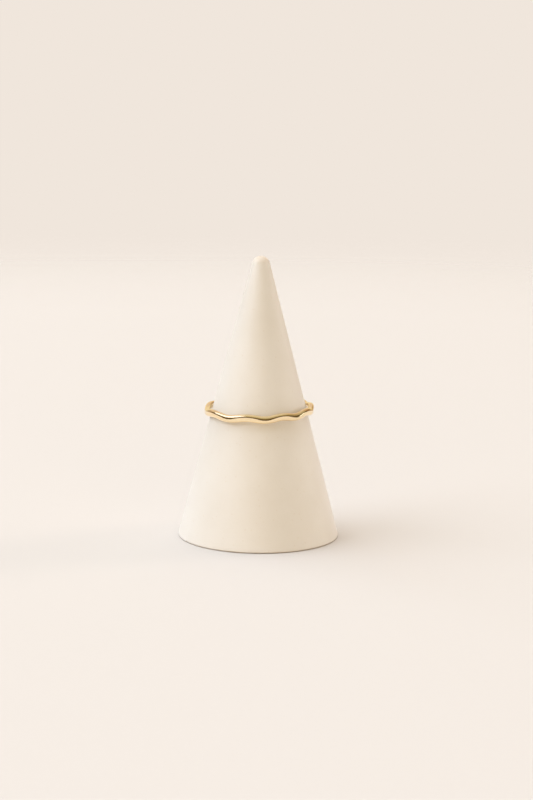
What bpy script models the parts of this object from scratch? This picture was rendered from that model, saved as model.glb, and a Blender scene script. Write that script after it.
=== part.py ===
"""A wavy gold band ring resting on a cone ring stand.

The stand is one turned solid with a rounded tip and a flat foot. The ring is
one bent wire of oval section that rises and falls in even waves, and it sits
on the cone at the height where its inside just clears the sloping side.
"""

import math

import bpy
from mathutils import Euler, Vector

# Cone stand, in metres
CONE_HEIGHT = 0.0500
CONE_BASE_DIAMETER = 0.0287
CONE_TIP_RADIUS = 0.0016
CONE_FOOT_EDGE_RADIUS = 0.0003

# Ring, in metres
RING_INNER_DIAMETER = 0.0172
WIRE_DEPTH = 0.0011
WIRE_HEIGHT = 0.00135

# Waves of the wire: how many, how far each way, where they start and how they bunch
WAVE_COUNT = 9
WAVE_RISE = 0.00017
WAVE_START = math.radians(220)
WAVE_BUNCHING = math.radians(-105)
FACE_ROLL = math.radians(10)

# How the ring rests on the cone
RING_CLEARANCE = 0.00015
LEAN_TO_THE_FRONT = math.radians(1.2)
LEAN_TO_THE_LEFT = math.radians(1.3)

# Fineness of the faceted surfaces
CONE_SIDES = 96
TIP_ARC_STEPS = 8
FOOT_ARC_STEPS = 4
WIRE_STATIONS = 180
WIRE_SIDES = 20
MERGE_DISTANCE = 1e-6

COLLECTION_NAME = "wavy_ring_on_cone_stand"


def clear_scene():
    """Remove every object, so that the script can run again in the same file."""
    for old in list(bpy.data.objects):
        bpy.data.objects.remove(old, do_unlink=True)


def make_material(name, colour, roughness, metallic):
    material = bpy.data.materials.new(name)
    material.use_nodes = True
    shader = material.node_tree.nodes["Principled BSDF"]
    shader.inputs["Base Color"].default_value = (*colour, 1.0)
    shader.inputs["Roughness"].default_value = roughness
    shader.inputs["Metallic"].default_value = metallic
    material.diffuse_color = (*colour, 1.0)
    return material


def cream_satin():
    return make_material("cream_satin", (0.86, 0.78, 0.66), 0.45, 0.0)


def polished_gold():
    return make_material("polished_gold", (0.90, 0.64, 0.32), 0.12, 1.0)


def cone_half_angle():
    """Angle between the axis and the straight side, which touches the tip's sphere."""
    base_radius = CONE_BASE_DIAMETER / 2
    tip_centre = CONE_HEIGHT - CONE_TIP_RADIUS
    to_centre = math.atan2(base_radius, tip_centre)
    to_tangent = math.asin(CONE_TIP_RADIUS / math.hypot(base_radius, tip_centre))
    return to_centre - to_tangent


def cone_radius_at(height):
    """Radius of the straight side at a height above the foot."""
    return CONE_BASE_DIAMETER / 2 - height * math.tan(cone_half_angle())


def arc(centre_x, centre_z, radius, start, end, steps):
    """Points on a circular arc in the XZ plane, with both ends."""
    points = []
    for step in range(steps + 1):
        angle = start + (end - start) * step / steps
        points.append((centre_x + radius * math.cos(angle), centre_z + radius * math.sin(angle)))
    return points


def cone_profile():
    """Half outline of the stand, from the top of the axis down its outer side to the foot."""
    side = cone_half_angle()
    tip = arc(0.0, CONE_HEIGHT - CONE_TIP_RADIUS, CONE_TIP_RADIUS, math.pi / 2, side, TIP_ARC_STEPS)
    foot_centre = cone_radius_at(CONE_FOOT_EDGE_RADIUS) - CONE_FOOT_EDGE_RADIUS / math.cos(side)
    foot = arc(foot_centre, CONE_FOOT_EDGE_RADIUS, CONE_FOOT_EDGE_RADIUS, side, -math.pi / 2, FOOT_ARC_STEPS)
    tip[0] = (0.0, CONE_HEIGHT)
    foot[-1] = (foot_centre, 0.0)
    return tip + foot + [(0.0, 0.0)]


def make_cone_stand(collection):
    """The stand, turned round the Z axis with its foot on the ground plane."""
    profile = cone_profile()
    mesh = bpy.data.meshes.new("cone_stand")
    vertices = [(x, 0.0, z) for x, z in profile]
    edges = [(index, index + 1) for index in range(len(profile) - 1)]
    mesh.from_pydata(vertices, edges, [])
    stand = bpy.data.objects.new("cone_stand", mesh)
    collection.objects.link(stand)
    turn = stand.modifiers.new("turn", "SCREW")
    turn.axis = "Z"
    turn.steps = CONE_SIDES
    turn.render_steps = CONE_SIDES
    turn.use_merge_vertices = True
    turn.merge_threshold = MERGE_DISTANCE
    turn.use_smooth_shade = True
    mesh.materials.append(cream_satin())
    return stand


def wave_phase(angle):
    """Phase of the waves at an angle round the ring, from the front towards +X."""
    return WAVE_COUNT * angle + WAVE_START + WAVE_BUNCHING * math.cos(angle)


def wire_centre(angle):
    """Centre of the wire at an angle round the ring, before the ring is leant and lifted."""
    radius = (RING_INNER_DIAMETER + WIRE_DEPTH) / 2
    rise = WAVE_RISE * math.cos(wave_phase(angle))
    return Vector((radius * math.sin(angle), -radius * math.cos(angle), rise))


def station_angles():
    return [2 * math.pi * station / WIRE_STATIONS for station in range(WIRE_STATIONS)]


def ring_lean():
    return Euler((LEAN_TO_THE_FRONT, -LEAN_TO_THE_LEFT, 0.0))


def ring_location():
    """Where the leant ring rests: moved to its low side, at the lowest height that clears the cone."""
    side = cone_half_angle()
    ring_radius = (RING_INNER_DIAMETER + WIRE_DEPTH) / 2
    shift = ring_radius * math.tan(side)
    centre = Vector((-shift * math.sin(LEAN_TO_THE_LEFT), -shift * math.sin(LEAN_TO_THE_FRONT), 0.0))
    half_wire = math.hypot(WIRE_DEPTH / 2 * math.cos(side), WIRE_HEIGHT / 2 * math.sin(side))
    standoff = (half_wire + RING_CLEARANCE) / math.cos(side)
    lean = ring_lean().to_matrix()
    heights = []
    for angle in station_angles():
        point = centre + lean @ wire_centre(angle)
        room = math.hypot(point.x, point.y) - standoff
        heights.append((CONE_BASE_DIAMETER / 2 - room) / math.tan(side) - point.z)
    centre.z = max(heights)
    return centre


def make_wire_section(collection):
    """Guide for the wire's oval section: depth along X, height along Y."""
    curve = bpy.data.curves.new("wire_section", "CURVE")
    curve.dimensions = "2D"
    spline = curve.splines.new("POLY")
    spline.points.add(WIRE_SIDES - 1)
    for side, point in enumerate(spline.points):
        angle = -2 * math.pi * side / WIRE_SIDES
        point.co = (WIRE_DEPTH / 2 * math.cos(angle), WIRE_HEIGHT / 2 * math.sin(angle), 0.0, 1.0)
    spline.use_cyclic_u = True
    guide = bpy.data.objects.new("wire_section", curve)
    guide.hide_render = True
    guide.display_type = "WIRE"
    collection.objects.link(guide)
    return guide


def make_ring_band(collection, section):
    """The band: the oval section swept round a closed wavy path."""
    curve = bpy.data.curves.new("ring_band", "CURVE")
    curve.dimensions = "3D"
    curve.twist_mode = "Z_UP"
    curve.bevel_mode = "OBJECT"
    curve.bevel_object = section
    spline = curve.splines.new("POLY")
    spline.points.add(WIRE_STATIONS - 1)
    for point, angle in zip(spline.points, station_angles()):
        point.co = (*wire_centre(angle), 1.0)
        point.tilt = FACE_ROLL * math.cos(wave_phase(angle))
    spline.use_cyclic_u = True
    spline.use_smooth = True
    ring = bpy.data.objects.new("ring_band", curve)
    ring.rotation_euler = ring_lean()
    ring.location = ring_location()
    collection.objects.link(ring)
    curve.materials.append(polished_gold())
    return ring


def main():
    clear_scene()
    parts = bpy.data.collections.new(COLLECTION_NAME)
    guides = bpy.data.collections.new("guides")
    bpy.context.scene.collection.children.link(parts)
    bpy.context.scene.collection.children.link(guides)
    make_cone_stand(parts)
    section = make_wire_section(guides)
    make_ring_band(parts, section)
    bpy.context.view_layer.update()


if __name__ == "__main__":
    main()
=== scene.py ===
"""Dresses a wavy gold ring on its cone stand and lights it as in a small product studio.

The file is laid out as a Blender add-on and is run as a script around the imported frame.
One operator makes the glazed cone, one the gold ring, and one the floor, lights and camera.
"""

import math

import bmesh
import bpy
from bpy.props import FloatProperty, FloatVectorProperty, IntProperty, PointerProperty
from mathutils import Euler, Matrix, Quaternion, Vector, noise


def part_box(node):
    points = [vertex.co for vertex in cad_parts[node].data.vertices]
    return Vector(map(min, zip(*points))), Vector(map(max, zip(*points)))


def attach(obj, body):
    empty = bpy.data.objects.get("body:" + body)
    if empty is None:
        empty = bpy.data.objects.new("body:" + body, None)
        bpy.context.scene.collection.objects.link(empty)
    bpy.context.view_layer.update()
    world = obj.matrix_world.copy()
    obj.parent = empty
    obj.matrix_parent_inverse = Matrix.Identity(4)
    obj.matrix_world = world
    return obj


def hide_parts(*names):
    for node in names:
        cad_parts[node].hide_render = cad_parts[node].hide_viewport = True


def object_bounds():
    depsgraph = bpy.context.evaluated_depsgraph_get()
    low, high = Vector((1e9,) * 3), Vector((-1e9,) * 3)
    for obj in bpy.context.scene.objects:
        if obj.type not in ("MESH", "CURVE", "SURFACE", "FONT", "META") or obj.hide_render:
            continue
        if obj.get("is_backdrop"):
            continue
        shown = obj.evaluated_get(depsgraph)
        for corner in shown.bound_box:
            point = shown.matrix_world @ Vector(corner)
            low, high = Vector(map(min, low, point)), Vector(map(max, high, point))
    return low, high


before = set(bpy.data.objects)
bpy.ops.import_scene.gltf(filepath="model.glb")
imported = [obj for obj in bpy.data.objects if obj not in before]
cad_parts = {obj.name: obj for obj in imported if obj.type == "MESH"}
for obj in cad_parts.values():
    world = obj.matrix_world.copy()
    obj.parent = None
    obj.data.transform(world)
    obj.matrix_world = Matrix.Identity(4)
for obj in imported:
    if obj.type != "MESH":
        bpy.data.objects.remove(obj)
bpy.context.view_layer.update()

bl_info = {
    "name": "Wavy Ring on Cone Stand",
    "version": (1, 0, 0),
    "blender": (4, 5, 0),
    "location": "View3D > Sidebar > Ring Stand",
    "description": "Makes a glazed cone ring stand, a wavy gold band ring and a pale studio",
    "category": "Add Mesh",
}

STAND_NODE = "cone_stand"
RING_NODE = "ring_band"
ROOT_BODY = "root"
STAND_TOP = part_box(STAND_NODE)[1][2]

# Fineness of the visible meshes
CONE_SIDES = 256
TIP_ROWS = 20
SIDE_ROWS = 100
FOOT_EDGE_ROWS = 8
UNDERSIDE_ROWS = 6
WIRE_STATIONS = 720
WIRE_SIDES = 48
FLOOR_SIDES = 96
MERGE_DISTANCE = 1e-7
WIRE_MAP = "along_wire"

# Grain of the hand-made shapes, in swells to a metre, and the broad swells' share of the whole
BROAD_SWELLS = 140.0
FINE_SWELLS = 600.0
BROAD_SHARE = 0.75
PLANISHING_GRAIN = 700.0
# Nearer to the axis than this share of the tip's radius, the cone isn't dipped
STILL_TOP_SHARE = 0.25

# Finishes and painted shade: how far the glaze line wanders and its soft edge, both in metres,
# where the bare clay below it also paints a dark contact shade along the base; how much of the
# clay's colour is painted over the tip as shade; how much rougher a scratch is and how it slants
# across the wire; and the tone of the darkest paper fibres
GLAZE_LINE_SWING = 0.0002
GLAZE_LINE_EDGE = (-0.00004, 0.00010)
TIP_PAINTED_SHADE = 0.55
SCRATCH_DULLNESS = 0.10
SCRATCH_SLANT = math.radians(38)
FIBRE_TONE = 0.985

# How far the floor lies under the foot, and the nearest thing that the camera sees, in metres
FLOOR_DROP = 0.00002
NEAREST_SIGHT = 0.01

# The room round the studio. Its walls change by elevation and by azimuth away from the camera's
# side, both in degrees, and its right corner by the sideways part of the direction
ZENITH = 90
WALL_EDGES = (0, 19, 25, 47, 53)
BEHIND = (109, 127)
STRAIGHT_BEHIND = (141, 159)
RIGHT_CORNER = (0.2, 0.6)
FRONT_LOW = (0.110, 0.075, 0.030)
FRONT_HIGH = (0.500, 0.420, 0.260)
FRONT_CEILING = (0.700, 0.660, 0.550)
CORNER_LOW = (0.440, 0.340, 0.260)
BACK_LOW = (0.850, 0.730, 0.480)
BACK_HIGH = (0.760, 0.620, 0.500)
BACK_CEILING = (0.700, 0.660, 0.550)
RIGHT_WARMTH = (0.720, 0.560, 0.380)

# Lights stand on two spheres round the stand: azimuth from the camera's side towards the right and
# elevation, both in degrees, then width and height in metres
LIGHT_DISTANCE = 3.0
FILL_DISTANCE = 3.2
SOFTBOX_PLACE = (-77, 38, 3.15, 1.72)
STRIP_PLACE = (99, 2, 0.75, 0.30)
FILL_LIGHTS = (
    # name, (red, green, blue), azimuth, elevation, width, height
    ("key_fill", (2.60, 2.99, 3.21), -80, 38, 3.36, 1.83),
    ("left_window", (2.20, 2.60, 3.00), -134, 36, 1.49, 1.60),
    ("rear_overhead", (1.50, 1.30, 1.00), 180, 66, 2.99, 2.08),
    ("top_fill", (1.77, 1.95, 2.36), 180, 89, 2.56, 2.56),
    ("front_bounce", (3.58, 2.78, 1.77), 0, 9, 4.80, 0.96),
    ("right_wall", (11.6, 9.60, 8.30), 112, 14, 0.90, 1.20),
    ("right_low", (15.2, 18.8, 22.4), 99, 2, 0.75, 0.30),
)


class ConeStandSettings(bpy.types.PropertyGroup):
    """Sizes and colours of the cone stand."""

    height: FloatProperty(
        name="Height", description="From the foot to the top of the tip",
        default=STAND_TOP, unit="LENGTH", precision=5)
    base_diameter: FloatProperty(
        name="Base Diameter", description="Across the foot, before its edge is rounded",
        default=0.0287, unit="LENGTH", precision=5)
    tip_radius: FloatProperty(
        name="Tip Radius", description="Radius of the rounded tip",
        default=0.0016, unit="LENGTH", precision=5)
    foot_edge_radius: FloatProperty(
        name="Foot Edge Radius", description="Radius of the edge between side and foot",
        default=0.0003, unit="LENGTH", precision=5)
    unevenness: FloatProperty(
        name="Unevenness", description="How far the hand-smoothed side dips below a true cone",
        default=0.00002, unit="LENGTH", precision=6)
    glaze_colour: FloatVectorProperty(
        name="Glaze Colour", description="Main colour of the satin glaze",
        default=(0.676, 0.645, 0.602), size=3, subtype="COLOR", min=0.0, max=1.0)
    warm_glaze_colour: FloatVectorProperty(
        name="Warm Glaze Colour", description="Where the glaze lies a little thicker",
        default=(0.642, 0.605, 0.554), size=3, subtype="COLOR", min=0.0, max=1.0)
    # The clay colour is also painted over the tip as shade, and its band at the foot as contact
    # shade
    clay_colour: FloatVectorProperty(
        name="Clay Colour", description="Bare clay of the foot, which also tints specks and tip",
        default=(0.560, 0.450, 0.340), size=3, subtype="COLOR", min=0.0, max=1.0)


class WavyRingSettings(bpy.types.PropertyGroup):
    """Sizes and colours of the ring."""

    inner_diameter: FloatProperty(
        name="Inner Diameter", description="Across the inside of the ring",
        default=0.0172, unit="LENGTH", precision=5)
    wire_depth: FloatProperty(
        name="Wire Depth", description="Through the wire, from the finger outwards",
        default=0.0011, unit="LENGTH", precision=5)
    wire_height: FloatProperty(
        name="Wire Height", description="Of the wire, along the finger",
        default=0.00135, unit="LENGTH", precision=5)
    section_squareness: FloatProperty(
        name="Section Squareness", description="2 is a true oval, more makes its faces flatter",
        default=2.3, min=2.0, max=4.0)
    wave_count: IntProperty(
        name="Waves", description="Rises and falls round the ring", default=9, min=1)
    wave_rise: FloatProperty(
        name="Wave Rise", description="How far the wire swings to each side of its middle plane",
        default=0.00017, unit="LENGTH", precision=6)
    wave_start: FloatProperty(
        name="Wave Start", description="Phase of the waves",
        default=math.radians(220), unit="ROTATION")
    wave_bunching: FloatProperty(
        name="Wave Bunching", description="How much the waves crowd towards one side",
        default=math.radians(-105), unit="ROTATION")
    face_roll: FloatProperty(
        name="Face Roll", description="How far the outer face rolls with the waves",
        default=math.radians(10), unit="ROTATION")
    lean_to_the_front: FloatProperty(
        name="Lean to the Front", description="How far the front hangs lower",
        default=math.radians(1.2), unit="ROTATION")
    lean_to_the_left: FloatProperty(
        name="Lean to the Left", description="How far the left side hangs lower",
        default=math.radians(1.3), unit="ROTATION")
    clearance: FloatProperty(
        name="Clearance", description="Between the ring and the cone where they come closest",
        default=0.00015, unit="LENGTH", precision=6)
    hand_marks: FloatProperty(
        name="Hand Marks", description="Depth of the soft planishing marks on the wire",
        default=0.000008, unit="LENGTH", precision=7)
    gold_colour: FloatVectorProperty(
        name="Gold Colour", description="Polished yellow gold",
        default=(1.000, 0.820, 0.540), size=3, subtype="COLOR", min=0.0, max=1.0)
    deep_gold_colour: FloatVectorProperty(
        name="Deep Gold Colour", description="The slightly richer tone that it takes in patches",
        default=(0.970, 0.760, 0.450), size=3, subtype="COLOR", min=0.0, max=1.0)


class StudioSettings(bpy.types.PropertyGroup):
    """Floor, backdrop, lights and camera."""

    floor_colour: FloatVectorProperty(
        name="Floor Colour", description="Pale paper under the stand",
        default=(0.552, 0.521, 0.495), size=3, subtype="COLOR", min=0.0, max=1.0)
    backdrop_colour: FloatVectorProperty(
        name="Backdrop Colour", description="What the camera sees behind the floor",
        default=(0.871, 0.791, 0.716), size=3, subtype="COLOR", min=0.0, max=1.0)
    floor_radius: FloatProperty(
        name="Floor Radius", description="Where the floor ends", default=0.65, unit="LENGTH")
    floor_fade_start: FloatProperty(
        name="Floor Fade Start", description="Where the floor starts to melt into the backdrop",
        default=0.30, unit="LENGTH")
    floor_fade_end: FloatProperty(
        name="Floor Fade End", description="Where the floor has become backdrop",
        default=0.60, unit="LENGTH")
    key_brightness: FloatProperty(
        name="Key Brightness", description="Brightness of the large softbox on the left",
        default=1.60, min=0.0)
    key_colour: FloatVectorProperty(
        name="Key Colour", description="Colour of the softbox as the gold mirrors it",
        default=(0.780, 0.780, 1.000), size=3, subtype="COLOR", min=0.0, max=1.0)
    strip_brightness: FloatProperty(
        name="Strip Brightness", description="Brightness of the low narrow light on the right",
        default=2.3, min=0.0)
    strip_colour: FloatVectorProperty(
        name="Strip Colour", description="Colour of the narrow light",
        default=(0.880, 1.000, 0.980), size=3, subtype="COLOR", min=0.0, max=1.0)
    fill_strength: FloatProperty(
        name="Fill Strength", description="Strength of all the fill lights together",
        default=1.0, min=0.0)
    camera_distance: FloatProperty(
        name="Camera Distance", description="From the cone's axis, along the floor",
        default=0.34897, unit="LENGTH")
    camera_height: FloatProperty(
        name="Camera Height", description="Above the floor", default=0.08550, unit="LENGTH")
    camera_pitch: FloatProperty(
        name="Camera Pitch", description="How far it looks down",
        default=math.radians(9.930), unit="ROTATION")
    camera_turn: FloatProperty(
        name="Camera Turn", description="How far it looks to the right",
        default=math.radians(0.201), unit="ROTATION")
    camera_roll: FloatProperty(
        name="Camera Roll", description="How far it is turned about its own line of sight",
        default=math.radians(0.649), unit="ROTATION")
    lens: FloatProperty(
        name="Lens", description="Focal length on a 36 mm frame", default=90.0, unit="CAMERA")


# Shared helpers


def feed(tree, node, feeds):
    """Fills sockets. Each feed is a plain value, or another node's output to link."""
    for socket, value in feeds.items():
        if isinstance(value, bpy.types.NodeSocket):
            tree.links.new(value, node.inputs[socket])
        else:
            node.inputs[socket].default_value = value


def add_node(tree, kind, name, feeds=None, **options):
    """Adds a shader node with its options and feeds."""
    node = tree.nodes.new(kind)
    node.name = node.label = name
    for option, value in options.items():
        setattr(node, option, value)
    feed(tree, node, feeds or {})
    return node


def add_noise(tree, name, place, scale, detail, roughness):
    feeds = {"Vector": place, "Scale": scale, "Detail": detail, "Roughness": roughness}
    texture = add_node(tree, "ShaderNodeTexNoise", name, feeds)
    return texture.outputs["Fac"]


def add_cells(tree, name, place, scale, feature="F1"):
    """Distance to the middle of the nearest scattered cell, or to its edge."""
    feeds = {"Vector": place, "Scale": scale, "Randomness": 1.0}
    texture = add_node(tree, "ShaderNodeTexVoronoi", name, feeds, feature=feature)
    return texture.outputs["Distance"]


def add_range(tree, name, value, measured, wanted=(0.0, 1.0), ease="LINEAR"):
    """Maps one stretch of values onto another and holds its ends."""
    feeds = {"Value": value, "From Min": measured[0], "From Max": measured[1],
             "To Min": wanted[0], "To Max": wanted[1]}
    mapping = add_node(tree, "ShaderNodeMapRange", name, feeds, interpolation_type=ease)
    return mapping.outputs["Result"]


def add_stretch(tree, name, place, scale, rotation=(0.0, 0.0, 0.0)):
    """Scales and turns the place that a texture is read at."""
    feeds = {"Vector": place, "Scale": scale, "Rotation": rotation}
    mapping = add_node(tree, "ShaderNodeMapping", name, feeds)
    return mapping.outputs["Vector"]


def add_maths(tree, name, operation, *terms):
    maths = add_node(tree, "ShaderNodeMath", name, dict(enumerate(terms)), operation=operation)
    return maths.outputs["Value"]


def add_mix(tree, name, factor, first, second, blend="MIX"):
    """A colour mix. Each side is an output or an opaque colour."""
    feeds = {"Factor": factor, "A": first, "B": second}
    mix = add_node(tree, "ShaderNodeMix", name, feeds, data_type="RGBA", blend_type=blend)
    return mix.outputs["Result"]


def add_relief(tree, name, height, strength, depth, below=None, sunk=False):
    """A bump of a depth in metres, raised or sunk, on top of the relief below it."""
    feeds = {"Height": height, "Strength": strength, "Distance": depth}
    if below is not None:
        feeds["Normal"] = below
    bump = add_node(tree, "ShaderNodeBump", name, feeds, invert=sunk)
    return bump.outputs["Normal"]


def opaque(colour):
    return (*colour, 1.0)


def scaled(colour, strength):
    return [strength * share for share in colour]


def raised(value):
    """Moves noise of -1 to 1 up to 0 to 1."""
    return 0.5 + 0.5 * value


def new_material(name):
    """A material, its node tree and the Principled shader in it."""
    material = bpy.data.materials.new(name)
    material.use_nodes = True
    return material, material.node_tree, material.node_tree.nodes["Principled BSDF"]


def link_object(name, mesh):
    piece = bpy.data.objects.new(name, mesh)
    bpy.context.scene.collection.objects.link(piece)
    return piece


# Cone stand


def cone_half_angle(stand):
    """Angle between the axis and the straight side, which touches the tip's sphere."""
    tip_centre = stand.height - stand.tip_radius
    base_radius = stand.base_diameter / 2
    to_centre = math.atan2(base_radius, tip_centre)
    return to_centre - math.asin(stand.tip_radius / math.hypot(base_radius, tip_centre))


def arc(centre, radius, start, end, rows):
    """Points of a circular arc as (distance from the axis, height), with both ends."""
    angles = [start + (end - start) * row / rows for row in range(rows + 1)]
    return [(centre[0] + radius * math.cos(a), centre[1] + radius * math.sin(a)) for a in angles]


def cone_outline(stand):
    """The turned outline, from the top of the tip down the side and along the underside."""
    side = cone_half_angle(stand)
    base_radius = stand.base_diameter / 2
    edge = stand.foot_edge_radius
    tip_centre = (0.0, stand.height - stand.tip_radius)
    foot_centre = (base_radius - edge * math.tan(side) - edge / math.cos(side), edge)
    outline = arc(tip_centre, stand.tip_radius, math.pi / 2, side, TIP_ROWS)
    foot = arc(foot_centre, edge, side, -math.pi / 2, FOOT_EDGE_ROWS)
    top, bottom = outline[-1], foot[0]
    for row in range(1, SIDE_ROWS):
        share = row / SIDE_ROWS
        outline.append((top[0] + (bottom[0] - top[0]) * share,
                        top[1] + (bottom[1] - top[1]) * share))
    outline += foot
    for row in range(1, UNDERSIDE_ROWS + 1):
        outline.append((foot_centre[0] * (1 - row / UNDERSIDE_ROWS), 0.0))
    outline[0] = (0.0, stand.height)
    return outline


def turn_outline(outline, sides):
    """Spins an outline about the Z axis into a closed bmesh with smooth faces."""
    shell = bmesh.new()
    corners = [shell.verts.new((x, 0.0, z)) for x, z in outline]
    edges = [shell.edges.new(pair) for pair in zip(corners, corners[1:])]
    bmesh.ops.spin(shell, geom=corners + edges, cent=(0, 0, 0), axis=(0, 0, 1),
                   angle=2 * math.pi, steps=sides, use_merge=True)
    bmesh.ops.remove_doubles(shell, verts=shell.verts, dist=MERGE_DISTANCE)
    bmesh.ops.recalc_face_normals(shell, faces=shell.faces)
    for face in shell.faces:
        face.smooth = True
    return shell


def soften_side(shell, stand):
    """Dips the side by up to the stand's unevenness, as hand smoothing leaves it."""
    for corner in shell.verts:
        place = corner.co
        spread = math.hypot(place.x, place.y)
        if spread < stand.tip_radius * STILL_TOP_SHARE or place.z < stand.foot_edge_radius:
            continue
        broad = noise.noise(place * BROAD_SWELLS)
        fine = noise.noise(place * FINE_SWELLS)
        swell = BROAD_SHARE * broad + (1 - BROAD_SHARE) * fine
        dip = stand.unevenness * raised(swell)
        corner.co = place - Vector((place.x, place.y, 0.0)) * (dip / spread)


def glaze_colour(tree, place, stand):
    """Mottled cream glaze with specks, with painted shade over the tip in the clay's colour.

    It ends above the bare clay foot, which also paints a dark contact shade along the base.
    """
    glaze, clay = opaque(stand.glaze_colour), opaque(stand.clay_colour)
    cloud = add_noise(tree, "glaze thickness", place, scale=90.0, detail=4.0, roughness=0.55)
    mottle = add_range(tree, "mottling", cloud, measured=(0.32, 0.68))
    colour = add_mix(tree, "glaze colour", mottle, glaze, opaque(stand.warm_glaze_colour))

    specks = add_cells(tree, "specks", place, scale=900.0)
    speck_size = add_range(tree, "speck size", specks, measured=(0.06, 0.16), wanted=(0.22, 0.0))
    colour = add_mix(tree, "speck colour", speck_size, colour, clay)

    split = add_node(tree, "ShaderNodeSeparateXYZ", "height", {"Vector": place})
    height = split.outputs["Z"]
    # Painted shade: the tip is painted darker towards the clay's colour, where light from above
    # falls
    painted_tip_shade = add_range(tree, "painted shade over the tip", height,
                         measured=(stand.height - stand.tip_radius, stand.height),
                         wanted=(0.0, TIP_PAINTED_SHADE), ease="SMOOTHSTEP")
    colour = add_mix(tree, "tip colour with painted shade", painted_tip_shade, colour, clay)

    # Bare clay below a wandering glaze line; this dark band also paints contact shade along the
    # base
    wander = add_noise(tree, "uneven glaze line", place, scale=1100.0, detail=3.0, roughness=0.6)
    above_line = add_maths(tree, "height from the glaze line", "MULTIPLY_ADD",
                           wander, -GLAZE_LINE_SWING, height)
    foot = add_range(tree, "bare foot and painted contact shade", above_line, measured=GLAZE_LINE_EDGE, wanted=(1.0, 0.0))
    return add_mix(tree, "foot colour and painted contact shade", foot, colour, clay)


def glaze_relief(tree, place):
    """Fine orange peel with level turning marks over it."""
    peel = add_noise(tree, "orange peel", place, scale=1600.0, detail=2.0, roughness=0.5)
    peeled = add_relief(tree, "orange peel relief", peel, strength=0.45, depth=0.00003)
    level = add_stretch(tree, "level lines", place, scale=(160.0, 160.0, 2600.0))
    turning = add_noise(tree, "turning marks", level, scale=1.0, detail=3.0, roughness=0.6)
    return add_relief(tree, "turning relief", turning, strength=0.30, depth=0.00001, below=peeled)


def satin_glaze(stand):
    """Cream satin glaze in patches of slightly more and less sheen."""
    material, tree, shader = new_material("cream_satin_glaze")
    place = add_node(tree, "ShaderNodeTexCoord", "place").outputs["Object"]
    sheen = add_noise(tree, "sheen patches", place, scale=260.0, detail=3.0, roughness=0.6)
    feed(tree, shader, {
        "Base Color": glaze_colour(tree, place, stand),
        "Roughness": add_range(tree, "satin roughness", sheen,
                               measured=(0.3, 0.7), wanted=(0.34, 0.42)),
        "Specular IOR Level": 0.5,
        "Normal": glaze_relief(tree, place),
    })
    return material


class RING_STAND_OT_glaze_cone(bpy.types.Operator):
    """Turn the cone stand and give it its satin glaze"""

    bl_idname = "ring_stand.glaze_cone"
    bl_label = "Glazed Cone"

    def execute(self, context):
        stand = context.scene.cone_stand
        shell = turn_outline(cone_outline(stand), CONE_SIDES)
        soften_side(shell, stand)
        mesh = bpy.data.meshes.new("glazed_cone")
        shell.to_mesh(mesh)
        shell.free()
        mesh.materials.append(satin_glaze(stand))
        cone = link_object("glazed_cone", mesh)
        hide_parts(STAND_NODE)
        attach(cone, ROOT_BODY)
        return {"FINISHED"}


# Wavy ring


def wave_phase(ring, angle):
    """Phase of the waves at an angle round the ring, from the front towards +X."""
    return ring.wave_count * angle + ring.wave_start + ring.wave_bunching * math.cos(angle)


def wire_centre(ring, angle):
    """Centre of the wire at an angle, in the ring's own level frame."""
    radius = (ring.inner_diameter + ring.wire_depth) / 2
    rise = ring.wave_rise * math.cos(wave_phase(ring, angle))
    return Vector((radius * math.sin(angle), -radius * math.cos(angle), rise))


def ring_lean(ring):
    return Euler((ring.lean_to_the_front, -ring.lean_to_the_left, 0.0))


def ring_location(ring, stand, angles):
    """Where the leant ring rests: moved to its low side and just clear of the cone."""
    side = cone_half_angle(stand)
    shift = (ring.inner_diameter + ring.wire_depth) / 2 * math.tan(side)
    centre = Vector((-shift * math.sin(ring.lean_to_the_left),
                     -shift * math.sin(ring.lean_to_the_front), 0.0))
    half_wire = math.hypot(ring.wire_depth / 2 * math.cos(side),
                           ring.wire_height / 2 * math.sin(side))
    standoff = (half_wire + ring.clearance) / math.cos(side)
    lean = ring_lean(ring).to_matrix()
    points = [centre + lean @ wire_centre(ring, angle) for angle in angles]
    base_radius = stand.base_diameter / 2
    centre.z = max((base_radius - math.hypot(p.x, p.y) + standoff) / math.tan(side) - p.z
                   for p in points)
    return centre


def section_point(ring, turn):
    """A point of the wire's soft oval section as (outwards, upwards)."""
    power = 2 / ring.section_squareness
    outwards = math.copysign(abs(math.cos(turn)) ** power, math.cos(turn))
    upwards = math.copysign(abs(math.sin(turn)) ** power, math.sin(turn))
    return ring.wire_depth / 2 * outwards, ring.wire_height / 2 * upwards


def wire_frame(ring, angle):
    """Outward and upward directions across the wire at an angle, rolled with the waves."""
    step = math.pi / WIRE_STATIONS
    along = (wire_centre(ring, angle + step) - wire_centre(ring, angle - step)).normalized()
    outwards = Vector((math.sin(angle), -math.cos(angle), 0.0))
    upwards = outwards.cross(along).normalized()
    roll = Quaternion(along, ring.face_roll * math.cos(wave_phase(ring, angle)))
    return roll @ outwards, roll @ upwards


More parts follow.
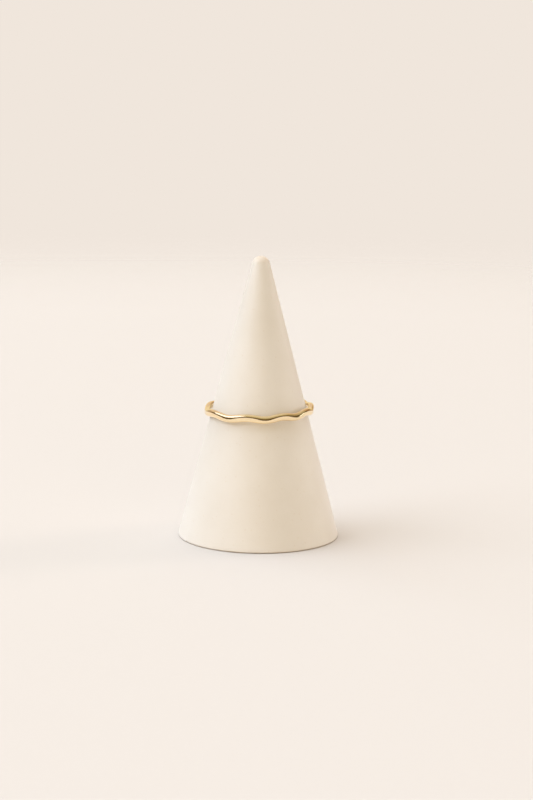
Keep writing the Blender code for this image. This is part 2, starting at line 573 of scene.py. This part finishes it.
def sweep_wire(ring):
    """The band as a bmesh: its section carried round the waves, with soft planishing marks."""
    band = bmesh.new()
    unwrapped = band.loops.layers.uv.new(WIRE_MAP)
    angles = [2 * math.pi * station / WIRE_STATIONS for station in range(WIRE_STATIONS)]
    turns = [2 * math.pi * side / WIRE_SIDES for side in range(WIRE_SIDES)]
    rows = []
    for angle in angles:
        centre = wire_centre(ring, angle)
        outwards, upwards = wire_frame(ring, angle)
        row = []
        for turn in turns:
            across, up = section_point(ring, turn)
            place = centre + outwards * across + upwards * up
            mark = ring.hand_marks * raised(noise.noise(place * PLANISHING_GRAIN))
            place -= (outwards * math.cos(turn) + upwards * math.sin(turn)) * mark
            row.append(band.verts.new(place))
        rows.append(row)
    for station, row in enumerate(rows):
        after = rows[(station + 1) % WIRE_STATIONS]
        for side in range(WIRE_SIDES):
            beside = (side + 1) % WIRE_SIDES
            face = band.faces.new((row[side], after[side], after[beside], row[beside]))
            face.smooth = True
            corners = ((station, side), (station + 1, side),
                       (station + 1, side + 1), (station, side + 1))
            for loop, (u, v) in zip(face.loops, corners):
                loop[unwrapped].uv = (u / WIRE_STATIONS, v / WIRE_SIDES)
    bmesh.ops.recalc_face_normals(band, faces=band.faces)
    return band, angles


def polished_gold(ring):
    """Polished gold: faint tone changes, buffing lines along the wire and fine wear scratches."""
    material, tree, shader = new_material("polished_gold")
    place = add_node(tree, "ShaderNodeTexCoord", "place").outputs["Object"]
    patches = add_noise(tree, "tone patches", place, scale=500.0, detail=3.0, roughness=0.5)
    tone = add_range(tree, "tone range", patches, measured=(0.35, 0.75), wanted=(0.0, 0.35))

    wire = add_node(tree, "ShaderNodeUVMap", "along the wire", uv_map=WIRE_MAP).outputs["UV"]
    lines = add_stretch(tree, "long thin lines", wire, scale=(60.0, 90.0, 1.0))
    buffing = add_noise(tree, "buffing lines", lines, scale=1.0, detail=5.0, roughness=0.65)
    polish = add_range(tree, "polish", buffing, measured=(0.3, 0.7), wanted=(0.07, 0.14))
    buffed = add_relief(tree, "buffing relief", buffing, strength=0.12, depth=0.00001)

    slanted = add_stretch(tree, "slanted scratches", wire, scale=(150.0, 14.0, 1.0),
                          rotation=(0.0, 0.0, SCRATCH_SLANT))
    cracks = add_cells(tree, "wear scratches", slanted, scale=1.0, feature="DISTANCE_TO_EDGE")
    scratches = add_range(tree, "scratch width", cracks, measured=(0.0, 0.03), wanted=(1.0, 0.0))
    scratched = add_relief(tree, "scratch relief", scratches, strength=0.10, depth=0.00001,
                           below=buffed, sunk=True)
    feed(tree, shader, {
        "Base Color": add_mix(tree, "gold tone", tone,
                              opaque(ring.gold_colour), opaque(ring.deep_gold_colour)),
        "Metallic": 1.0,
        "Roughness": add_maths(tree, "worn polish", "MULTIPLY_ADD",
                               scratches, SCRATCH_DULLNESS, polish),
        "Normal": scratched,
    })
    return material


class RING_STAND_OT_bend_ring(bpy.types.Operator):
    """Bend the gold wire into its wavy ring and rest it on the cone"""

    bl_idname = "ring_stand.bend_ring"
    bl_label = "Wavy Gold Ring"

    def execute(self, context):
        ring = context.scene.wavy_ring
        band, angles = sweep_wire(ring)
        mesh = bpy.data.meshes.new("wavy_gold_ring")
        band.to_mesh(mesh)
        band.free()
        resting = ring_lean(ring).to_matrix().to_4x4()
        resting.translation = ring_location(ring, context.scene.cone_stand, angles)
        mesh.transform(resting)
        mesh.materials.append(polished_gold(ring))
        piece = link_object("wavy_gold_ring", mesh)
        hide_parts(RING_NODE)
        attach(piece, ROOT_BODY)
        return {"FINISHED"}


# Studio


def paper_floor(studio):
    """Pale matt paper that melts into the backdrop far from the stand."""
    material, tree, shader = new_material("pale_paper")
    place = add_node(tree, "ShaderNodeTexCoord", "place").outputs["Object"]
    fibres = add_noise(tree, "paper fibres", place, scale=900.0, detail=3.0, roughness=0.6)
    paper = opaque(studio.floor_colour)
    darker = opaque(scaled(studio.floor_colour, FIBRE_TONE))
    feed(tree, shader, {
        "Base Color": add_mix(tree, "paper colour", fibres, paper, darker),
        "Roughness": 0.85,
        "Specular IOR Level": 0.25,
    })
    distance = add_node(tree, "ShaderNodeVectorMath", "distance", {0: place}, operation="LENGTH")
    fade = add_range(tree, "fade", distance.outputs["Value"], ease="SMOOTHSTEP",
                     measured=(studio.floor_fade_start, studio.floor_fade_end))
    clear = add_node(tree, "ShaderNodeBsdfTransparent", "clear")
    melt = add_node(tree, "ShaderNodeMixShader", "melt into backdrop",
                    {"Fac": fade, 1: shader.outputs["BSDF"], 2: clear.outputs["BSDF"]})
    feed(tree, tree.nodes["Material Output"], {"Surface": melt.outputs["Shader"]})
    return material


def lay_floor(studio):
    """A round sheet of paper, a hair's breadth under the stand's foot."""
    sheet = bmesh.new()
    bmesh.ops.create_circle(sheet, cap_ends=True, radius=studio.floor_radius,
                            segments=FLOOR_SIDES)
    mesh = bpy.data.meshes.new("paper_floor")
    sheet.to_mesh(mesh)
    sheet.free()
    mesh.materials.append(paper_floor(studio))
    floor = link_object("paper_floor", mesh)
    floor.location.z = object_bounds()[0][2] - FLOOR_DROP
    floor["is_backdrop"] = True


def direction(azimuth, elevation):
    """Unit vector to a light: azimuth from the front (-Y) towards the right (+X)."""
    return Vector((math.sin(azimuth) * math.cos(elevation),
                   -math.cos(azimuth) * math.cos(elevation), math.sin(elevation)))


def hang_soft_light(name, distance, colour, azimuth, elevation, width, height):
    """A flat soft light that faces the stand. Its power follows from its colour and size."""
    brightness = max(colour)
    light = bpy.data.lights.new(name, "AREA")
    light.shape = "RECTANGLE"
    light.size = width
    light.size_y = height
    light.energy = brightness * math.pi * width * height
    light.color = [share / brightness for share in colour]
    lamp = bpy.data.objects.new(name, light)
    towards = direction(math.radians(azimuth), math.radians(elevation))
    lamp.location = towards * distance
    lamp.rotation_euler = towards.to_track_quat("Z", "Y").to_euler()
    lamp.visible_camera = False
    bpy.context.scene.collection.objects.link(lamp)
    return lamp


def hang_lights(studio):
    """Two lights that the gold mirrors, and fills that only light the stand and the floor."""
    key = scaled(studio.key_colour, studio.key_brightness)
    strip = scaled(studio.strip_colour, studio.strip_brightness)
    hang_soft_light("left_softbox", LIGHT_DISTANCE, key, *SOFTBOX_PLACE)
    hang_soft_light("right_strip", LIGHT_DISTANCE, strip, *STRIP_PLACE)
    for name, colour, *place in FILL_LIGHTS:
        colour = scaled(colour, studio.fill_strength)
        lamp = hang_soft_light(name, FILL_DISTANCE, colour, *place)
        lamp.visible_glossy = False


def view_angles(tree, across, depth, height):
    """Azimuth away from the camera's side and elevation of a direction, both in radians."""
    towards_camera = add_maths(tree, "towards the camera", "MULTIPLY", depth, -1.0)
    signed = add_maths(tree, "signed azimuth", "ARCTAN2", across, towards_camera)
    azimuth = add_maths(tree, "azimuth", "ABSOLUTE", signed)
    elevation = add_maths(tree, "elevation", "ARCSINE", height)
    return azimuth, elevation


def turn_range(tree, name, azimuth, degrees):
    """Rises from 0 to 1 as the azimuth turns from the first of two angles to the second."""
    turn = [math.radians(angle) for angle in degrees]
    return add_range(tree, name, azimuth, measured=turn, ease="SMOOTHSTEP")


def wall_ramp(tree, name, elevation, low, high, ceiling):
    """Lower wall, upper wall and ceiling by elevation, with soft edges between them."""
    share = add_maths(tree, name + " height", "DIVIDE", elevation, math.radians(ZENITH))
    ramp = add_node(tree, "ShaderNodeValToRGB", name, {"Fac": share})
    elements = ramp.color_ramp.elements
    while len(elements) < len(WALL_EDGES):
        elements.new(1.0)
    colours = (low, low, high, high, ceiling)
    for element, degrees, colour in zip(elements, WALL_EDGES, colours):
        element.position = degrees / ZENITH
        element.color = opaque(colour)
    return ramp.outputs["Color"]


def room_colour(tree):
    """Colour of the room by direction: its front, its rear and the warm corner on the right."""
    place = add_node(tree, "ShaderNodeTexCoord", "direction")
    split = add_node(tree, "ShaderNodeSeparateXYZ", "split direction",
                     {"Vector": place.outputs["Generated"]})
    across, depth, height = (split.outputs[axis] for axis in "XYZ")
    azimuth, elevation = view_angles(tree, across, depth, height)
    front = wall_ramp(tree, "front wall", elevation, FRONT_LOW, FRONT_HIGH, FRONT_CEILING)
    corner = wall_ramp(tree, "back corner", elevation, CORNER_LOW, BACK_HIGH, BACK_CEILING)
    back = wall_ramp(tree, "back wall", elevation, BACK_LOW, BACK_HIGH, BACK_CEILING)
    straight = turn_range(tree, "straight behind", azimuth, STRAIGHT_BEHIND)
    rear = add_mix(tree, "rear", straight, corner, back)
    rightwards = add_range(tree, "towards the right", across,
                           measured=RIGHT_CORNER, ease="SMOOTHSTEP")
    warmed = add_mix(tree, "warm right corner", rightwards, rear, opaque(RIGHT_WARMTH),
                     blend="MULTIPLY")
    behind = turn_range(tree, "behind the stand", azimuth, BEHIND)
    return add_mix(tree, "room", behind, front, warmed)


def paint_world(studio):
    """The room for light and reflections, and a plain cream backdrop for the eye."""
    world = bpy.data.worlds.new("studio")
    world.use_nodes = True
    bpy.context.scene.world = world
    tree = world.node_tree
    room = tree.nodes["Background"]
    feed(tree, room, {"Color": room_colour(tree)})
    backdrop = add_node(tree, "ShaderNodeBackground", "backdrop",
                        {"Color": opaque(studio.backdrop_colour), "Strength": 1.0})
    sight = add_node(tree, "ShaderNodeLightPath", "sight line")
    choose = add_node(tree, "ShaderNodeMixShader", "backdrop for the eye, room for the light",
                      {"Fac": sight.outputs["Is Camera Ray"], 1: room.outputs["Background"],
                       2: backdrop.outputs["Background"]})
    feed(tree, tree.nodes["World Output"], {"Surface": choose.outputs["Shader"]})


def place_camera(studio):
    """The photo's viewpoint: a long lens a little above the stand."""
    camera = bpy.data.cameras.new("product_camera")
    camera.lens = studio.lens
    camera.clip_start = NEAREST_SIGHT
    body = bpy.data.objects.new("product_camera", camera)
    body.location = (0.0, -studio.camera_distance, studio.camera_height)
    aim = Euler((math.pi / 2 - studio.camera_pitch, 0.0, -studio.camera_turn)).to_quaternion()
    roll = Quaternion((0.0, 0.0, 1.0), studio.camera_roll)
    body.rotation_euler = (aim @ roll).to_euler()
    bpy.context.scene.collection.objects.link(body)
    bpy.context.scene.camera = body


class RING_STAND_OT_set_studio(bpy.types.Operator):
    """Lay the floor, hang the lights and place the camera"""

    bl_idname = "ring_stand.set_studio"
    bl_label = "Pale Studio"

    def execute(self, context):
        studio = context.scene.ring_studio
        context.scene.view_settings.view_transform = "Standard"
        lay_floor(studio)
        paint_world(studio)
        hang_lights(studio)
        place_camera(studio)
        return {"FINISHED"}


class RING_STAND_PT_sidebar(bpy.types.Panel):
    """Settings and buttons of the ring and its stand"""

    bl_label = "Wavy Ring on Cone Stand"
    bl_idname = "RING_STAND_PT_sidebar"
    bl_space_type = "VIEW_3D"
    bl_region_type = "UI"
    bl_category = "Ring Stand"

    def draw(self, context):
        scene = context.scene
        rows = (
            (scene.cone_stand, RING_STAND_OT_glaze_cone),
            (scene.wavy_ring, RING_STAND_OT_bend_ring),
            (scene.ring_studio, RING_STAND_OT_set_studio),
        )
        for settings, operator in rows:
            box = self.layout.box()
            box.operator(operator.bl_idname)
            for setting in settings.bl_rna.properties.keys():
                if setting not in ("rna_type", "name"):
                    box.prop(settings, setting)


CLASSES = (
    ConeStandSettings,
    WavyRingSettings,
    StudioSettings,
    RING_STAND_OT_glaze_cone,
    RING_STAND_OT_bend_ring,
    RING_STAND_OT_set_studio,
    RING_STAND_PT_sidebar,
)


def register():
    for cls in CLASSES:
        bpy.utils.register_class(cls)
    bpy.types.Scene.cone_stand = PointerProperty(type=ConeStandSettings)
    bpy.types.Scene.wavy_ring = PointerProperty(type=WavyRingSettings)
    bpy.types.Scene.ring_studio = PointerProperty(type=StudioSettings)


def unregister():
    del bpy.types.Scene.ring_studio
    del bpy.types.Scene.wavy_ring
    del bpy.types.Scene.cone_stand
    for cls in reversed(CLASSES):
        bpy.utils.unregister_class(cls)


def main():
    register()
    bpy.ops.ring_stand.glaze_cone()
    bpy.ops.ring_stand.bend_ring()
    bpy.ops.ring_stand.set_studio()
    bpy.context.view_layer.update()


if __name__ == "__main__":
    main()
